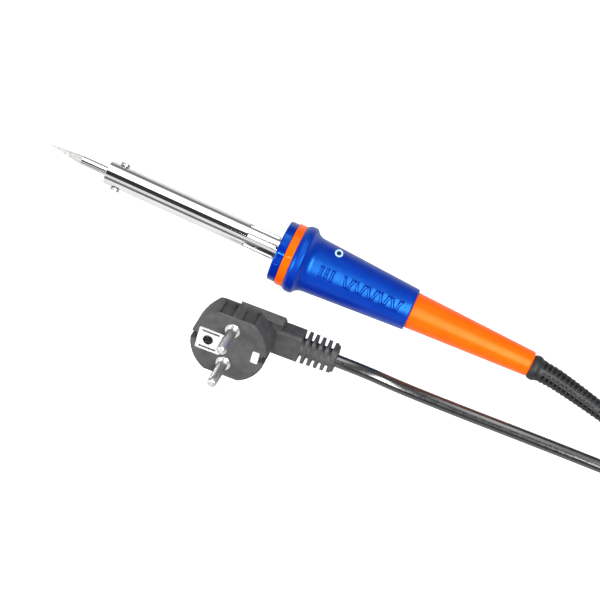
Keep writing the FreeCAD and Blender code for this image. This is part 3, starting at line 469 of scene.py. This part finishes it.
def make_materials():
    """One material for each of the record's slots."""
    made = [
        plated_tip(),
        polished_metal("screw_steel", (0.62, 0.62, 0.63), 0.2, 0.36, (1, 1, 1)),
        polished_metal("stainless", (0.78, 0.78, 0.79), 0.05, 0.09),
        polished_metal("heater_steel", (0.5, 0.48, 0.45), 0.3, 0.5),
        plain_matter("mica", (0.78, 0.7, 0.55), 0.35, 0.6, 3000, 0.00003),
        polished_metal("heating_wire", (0.33, 0.3, 0.28), 0.4, 0.6, (1, 1, 1)),
        plain_matter("lead_ceramic", (0.42, 0.40, 0.37), 0.55, 0.75, 5000, 0.00001, 0.1),
        polished_metal("lead_wire", (0.7, 0.69, 0.66), 0.25, 0.4, (1, 1, 1)),
        moulded_plastic(
            "blue_plastic", (0.0, 0.012, 0.22), (0.06, 0.48, 1.0), 0.3, 0.36, 1.5, front=POLISH_TO,
        ),
        moulded_plastic(
            "orange_plastic", (0.9, 0.09, 0.0), (1.0, 0.2, 0.07), 0.3, 0.36, 1.5, front=POLISH_TO,
        ),
        moulded_plastic("bezel_white", (0.3, 0.46, 0.68), (1, 1, 1), 0.25, 0.35, 1.5),
        moulded_plastic("lens_dark", (0.004, 0.012, 0.05), (1, 1, 1), 0.1, 0.16, 1.3, 0.000002),
        lamp_glass(),
        plain_matter("resistor_body", (0.62, 0.46, 0.28), 0.35, 0.5, 2500, 0.00001),
        plain_matter("terminal_plastic", (0.82, 0.8, 0.75), 0.4, 0.55, 2500, 0.00001, 0.04),
        polished_metal("brass", (0.8, 0.6, 0.28), 0.2, 0.36, (1, 1, 1)),
        earth_insulation(),
        plain_matter("live_insulation", (0.16, 0.06, 0.025), 0.35, 0.5, 2500, 0.00001),
        plain_matter("neutral_insulation", (0.02, 0.08, 0.4), 0.35, 0.5, 2500, 0.00001),
        plain_matter("clamp_plastic", (0.03, 0.03, 0.03), 0.4, 0.55, 2500, 0.00001),
        rubber("cord_rubber", (0.01, 0.01, 0.011), 0.13, 0.17, 2600, 0.000001, 1.8),
        rubber("relief_rubber", (0.012, 0.013, 0.014), 0.45, 0.52, 3000, 0.00001, 1.35),
        rubber("plug_plastic", (0.044, 0.044, 0.045), 0.5, 0.62, 2400, 0.00005, 1.4),
        polished_metal("pin_nickel", (0.6, 0.6, 0.59), 0.3, 0.38, (1, 1, 1), 0.0000005),
        polished_metal("earth_metal", (0.8, 0.8, 0.79), 0.24, 0.36, (1, 1, 1)),
        plain_matter("carrier_plastic", (0.5, 0.5, 0.48), 0.4, 0.55, 2500, 0.00001),
        rubber("tie_band", (0.02, 0.02, 0.021), 0.4, 0.5, 3500, 0.00002),
    ]
    return {material.name.removesuffix(LOOK): material for material in made}


def paint_nodes(materials):
    """Every CAD node takes the material of its slot in the record."""
    for entry in frame["record"]["subparts"]:
        node = frame["nodes"][entry["node"]]
        node.data.materials.clear()
        node.data.materials.append(materials[entry["material_slot"]])


# ---- Curves and centre lines ---------------------------------------------------------------------
def nurbs_curve(name, points, radius):
    """One open quadratic spline through its end points, with a round section."""
    data = bpy.data.curves.new(name, "CURVE")
    data.dimensions = "3D"
    data.resolution_u = 8
    data.bevel_depth = radius
    data.bevel_resolution = 6
    data.use_fill_caps = radius > 0
    spline = data.splines.new("NURBS")
    spline.points.add(len(points) - 1)
    for point, place in zip(spline.points, points):
        point.co = (*place, 1)
    spline.order_u = 3
    spline.use_endpoint_u = True
    curve = bpy.data.objects.new(name, data)
    bpy.context.scene.collection.objects.link(curve)
    return curve


def centre_line(points):
    """Points of a route's spline, in order."""
    curve = nurbs_curve("scratch_line", points, 0)
    curve.data.resolution_u = 24
    graph = bpy.context.evaluated_depsgraph_get()
    mesh = bpy.data.meshes.new_from_object(curve.evaluated_get(graph))
    line = [vertex.co.copy() for vertex in mesh.vertices]
    bpy.data.meshes.remove(mesh)
    bpy.data.objects.remove(curve)
    return line


class Line:
    """A centre line that gives its point and direction at any distance along it."""

    def __init__(self, points):
        self.points = points
        self.at = [0.0]
        for a, b in zip(points, points[1:]):
            self.at.append(self.at[-1] + (b - a).length)
        self.length = self.at[-1]

    def frame(self, distance):
        """Point, unit direction, and unit side and up vectors across it."""
        i = 0
        while i < len(self.at) - 2 and self.at[i + 1] < distance:
            i += 1
        run = self.points[i + 1] - self.points[i]
        share = (distance - self.at[i]) / run.length
        point = self.points[i] + run * share
        along = run.normalized()
        side = Vector((0, 0, 1)).cross(along).normalized()
        return point, along, side, along.cross(side)


def mesh_object(name, bm):
    """Object from a bmesh, smooth shaded."""
    bmesh.ops.recalc_face_normals(bm, faces=bm.faces)
    mesh = bpy.data.meshes.new(name)
    bm.to_mesh(mesh)
    bm.free()
    for polygon in mesh.polygons:
        polygon.use_smooth = True
    made = bpy.data.objects.new(name, mesh)
    bpy.context.scene.collection.objects.link(made)
    return made


def soften_edges(made, width, segments=2, angle=35.0):
    """Rounded edges and split normals at the sharp ones."""
    bevel = made.modifiers.new("rounded_edges", "BEVEL")
    bevel.width = width
    bevel.segments = segments
    bevel.limit_method = "ANGLE"
    bevel.angle_limit = math.radians(angle)
    bevel.harden_normals = True


# ---- Lead and its tie ----------------------------------------------------------------------------
def polar(point, centre):
    """Angle in degrees and distance of a route point about the coil's centre."""
    dx, dy = point[0] - centre.x, point[1] - centre.y
    return math.degrees(math.atan2(dy, dx)), math.hypot(dx, dy)


def tie_rise(angle):
    """Height that the turns gain where they pass through the tie."""
    away = (angle - TIE_ANGLE + 180) % 360 - 180
    return TIE_LIFT * math.exp(-(away / TIE_SPREAD) ** 2)


def coil_points():
    """Turns that wind inwards on the table, climb, and wind outwards on top."""
    centre = midpoint("cord_coil")
    start_angle, start_r = polar(IRON_LEAD_ROUTE[-1], centre)
    end_angle, end_r = polar(PLUG_LEAD_ROUTE[0], centre)
    turns = COIL_WHOLE_TURNS + (start_angle - end_angle) % 360 / 360
    inner_r = start_r - COIL_PITCH * COIL_TURNS_BELOW
    climbed = COIL_TURNS_BELOW + COIL_CLIMB
    step = turns / round(turns * COIL_STEPS)
    # A quadratic spline runs inside its control points by this share of the radius.
    inside = 0.75 + 0.25 * math.cos(2 * math.pi * step)
    points = []
    for i in range(1, round(turns * COIL_STEPS)):
        n = i * step
        angle = start_angle - 360 * n
        if n < COIL_TURNS_BELOW:
            r = start_r - COIL_PITCH * n
            z = CORD_R
        elif n < climbed:
            share = (n - COIL_TURNS_BELOW) / COIL_CLIMB
            r = inner_r
            z = CORD_R + (COIL_TOP_Z - CORD_R) * (1 - math.cos(math.pi * share)) / 2
        else:
            r = inner_r + (end_r - inner_r) * (n - climbed) / (turns - climbed)
            z = COIL_TOP_Z
        z += tie_rise(angle)
        r /= inside
        points.append((
            centre.x + r * math.cos(math.radians(angle)), centre.y + r * math.sin(math.radians(angle)), z,
        ))
    return points


def make_lead(materials):
    """The whole free lead as one curve: iron side, coil, plug side."""
    lead = nurbs_curve("mains_lead", IRON_LEAD_ROUTE + coil_points() + PLUG_LEAD_ROUTE, CORD_R)
    lead.data.materials.append(materials["cord_rubber"])
    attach(lead, "iron")
    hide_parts("cord_iron_side", "cord_coil", "cord_plug_side")
    return lead


def make_tie(materials):
    """Flat band round the coil's turns."""
    centre = midpoint("cord_coil")
    low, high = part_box("cord_coil")
    outer = (high.x - low.x) / 2 + 2 * TIE_SLACK
    inner = outer - TIE_SPAN
    top = COIL_TOP_Z + CORD_R + TIE_LIFT + TIE_SLACK
    bottom = TIE_THICKNESS + TIE_SLACK
    corner = CORD_R
    outline = []
    corners = [
        (outer - corner, bottom + corner, -90), (outer - corner, top - corner, 0),
        (inner + corner, top - corner, 90), (inner + corner, bottom + corner, 180),
    ]
    for r, z, first in corners:
        for k in range(TIE_CORNER_STEPS + 1):
            a = math.radians(first + 90 // TIE_CORNER_STEPS * k)
            outline.append((r, z, math.cos(a), math.sin(a)))
    radial = Vector((math.cos(math.radians(TIE_ANGLE)), math.sin(math.radians(TIE_ANGLE)), 0))
    across = Vector((-radial.y, radial.x, 0))
    bm = bmesh.new()
    loops = []
    for side, depth in ((-1, 0), (1, 0), (1, TIE_THICKNESS), (-1, TIE_THICKNESS)):
        loop = []
        for r, z, cr, cz in outline:
            reach = corner + depth
            point = radial * (r + cr * reach) + across * (side * TIE_WIDTH / 2)
            loop.append(bm.verts.new((centre.x + point.x, centre.y + point.y, z + cz * reach)))
        loops.append(loop)
    count = len(outline)
    for a, b in zip(loops, loops[1:] + loops[:1]):
        for k in range(count):
            bm.faces.new((a[k], a[(k + 1) % count], b[(k + 1) % count], b[k]))
    tie = mesh_object("lead_tie", bm)
    soften_edges(tie, TIE_EDGE)
    tie.data.materials.append(materials["tie_band"])
    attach(tie, "iron")
    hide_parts("cord_tie")
    return tie


# ---- Strain relief -------------------------------------------------------------------------------
def relief_rings(line, start):
    """Distances along the line and outer radii: round collar, neck, then the slotted taper."""
    end = line.length
    rings = [(start + distance, radius) for distance, radius in RELIEF_COLLAR]
    slots_from = start + RELIEF_SLOTS_FROM
    slot = RELIEF_PITCH * SLOT_SHARE
    half = RELIEF_PITCH / 2
    marks = (0.0, slot - half, half, slot)
    pitches = int((end - RELIEF_PLAIN_END - slots_from - slot) / RELIEF_PITCH)
    taper = (RELIEF_FRONT_R - RELIEF_END_R) / (end - slots_from)
    first = len(rings)
    for i in range(pitches):
        for mark in marks:
            at = slots_from + i * RELIEF_PITCH + mark
            rings.append((at, RELIEF_FRONT_R - taper * (at - slots_from)))
    for mark in marks[:2]:
        at = slots_from + pitches * RELIEF_PITCH + mark
        rings.append((at, RELIEF_FRONT_R - taper * (at - slots_from)))
    rings.append((end - RELIEF_LIP, RELIEF_END_R))
    rings.append((end, RELIEF_END_R - RELIEF_LIP_DROP))
    return rings, first, 4 * pitches


def is_slot(row, column, first, cells):
    """Whether a cell of the sleeve is cut away: six columns, neighbours half a pitch apart."""
    step = row - first
    share = RELIEF_SEGMENTS // RELIEF_COLUMNS
    if column % share >= SLOT_SEGMENTS or step < 0:
        return False
    if (column // share) % 2:
        return 2 <= step <= cells and step % 4 != 1
    return step < cells and step % 4 != 3


def make_strain_relief(materials):
    """Slotted flexible sleeve round the sheath, from the handle's end to the free lead."""
    line = Line(centre_line(RELIEF_ROUTE))
    handle_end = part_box("rear_handle")[1].x
    start = 0.0
    while line.frame(start)[0].x < handle_end - RELIEF_TUCK:
        start += RELIEF_STEP
    rings, first, cells = relief_rings(line, start)
    bm = bmesh.new()
    outer = []
    inner = []
    count = RELIEF_SEGMENTS
    offset = RELIEF_COLUMN - 360 / count * SLOT_SEGMENTS / 2
    for distance, radius in rings:
        point, _, side, up = line.frame(distance)
        outer_ring = []
        inner_ring = []
        for k in range(count):
            angle = math.radians(offset + 360 * k / count)
            spoke = up * math.cos(angle) + side * math.sin(angle)
            outer_ring.append(bm.verts.new(point + spoke * radius))
            inner_ring.append(bm.verts.new(point + spoke * RELIEF_WALL_R))
        outer.append(outer_ring)
        inner.append(inner_ring)
    rows = len(rings) - 1
    for i in range(rows):
        for k in range(count):
            after = (k + 1) % count
            if is_slot(i, k, first, cells):
                continue
            out_a, out_b = outer[i][k], outer[i][after]
            out_c, out_d = outer[i + 1][after], outer[i + 1][k]
            in_a, in_b = inner[i][k], inner[i][after]
            in_c, in_d = inner[i + 1][after], inner[i + 1][k]
            bm.faces.new((out_a, out_b, out_c, out_d))
            bm.faces.new((in_a, in_d, in_c, in_b))
            if i == 0 or is_slot(i - 1, k, first, cells):
                bm.faces.new((out_a, in_a, in_b, out_b))
            if i == rows - 1 or is_slot(i + 1, k, first, cells):
                bm.faces.new((out_d, out_c, in_c, in_d))
            if is_slot(i, (k - 1) % count, first, cells):
                bm.faces.new((out_a, out_d, in_d, in_a))
            if is_slot(i, after, first, cells):
                bm.faces.new((out_b, in_b, in_c, out_c))
    bmesh.ops.delete(bm, geom=[v for v in bm.verts if not v.link_faces], context="VERTS")
    relief = mesh_object("slotted_relief", bm)
    soften_edges(relief, RELIEF_EDGE)
    relief.data.materials.append(materials["relief_rubber"])
    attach(relief, "iron")
    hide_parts("strain_relief")


# ---- Everything together -------------------------------------------------------------------------
bpy.context.scene.view_settings.view_transform = "Standard"
make_camera()
make_floor()
make_world()
make_light()
finishes = make_materials()
paint_nodes(finishes)
free_lead = make_lead(finishes)
lead_tie = make_tie(finishes)
make_strain_relief(finishes)
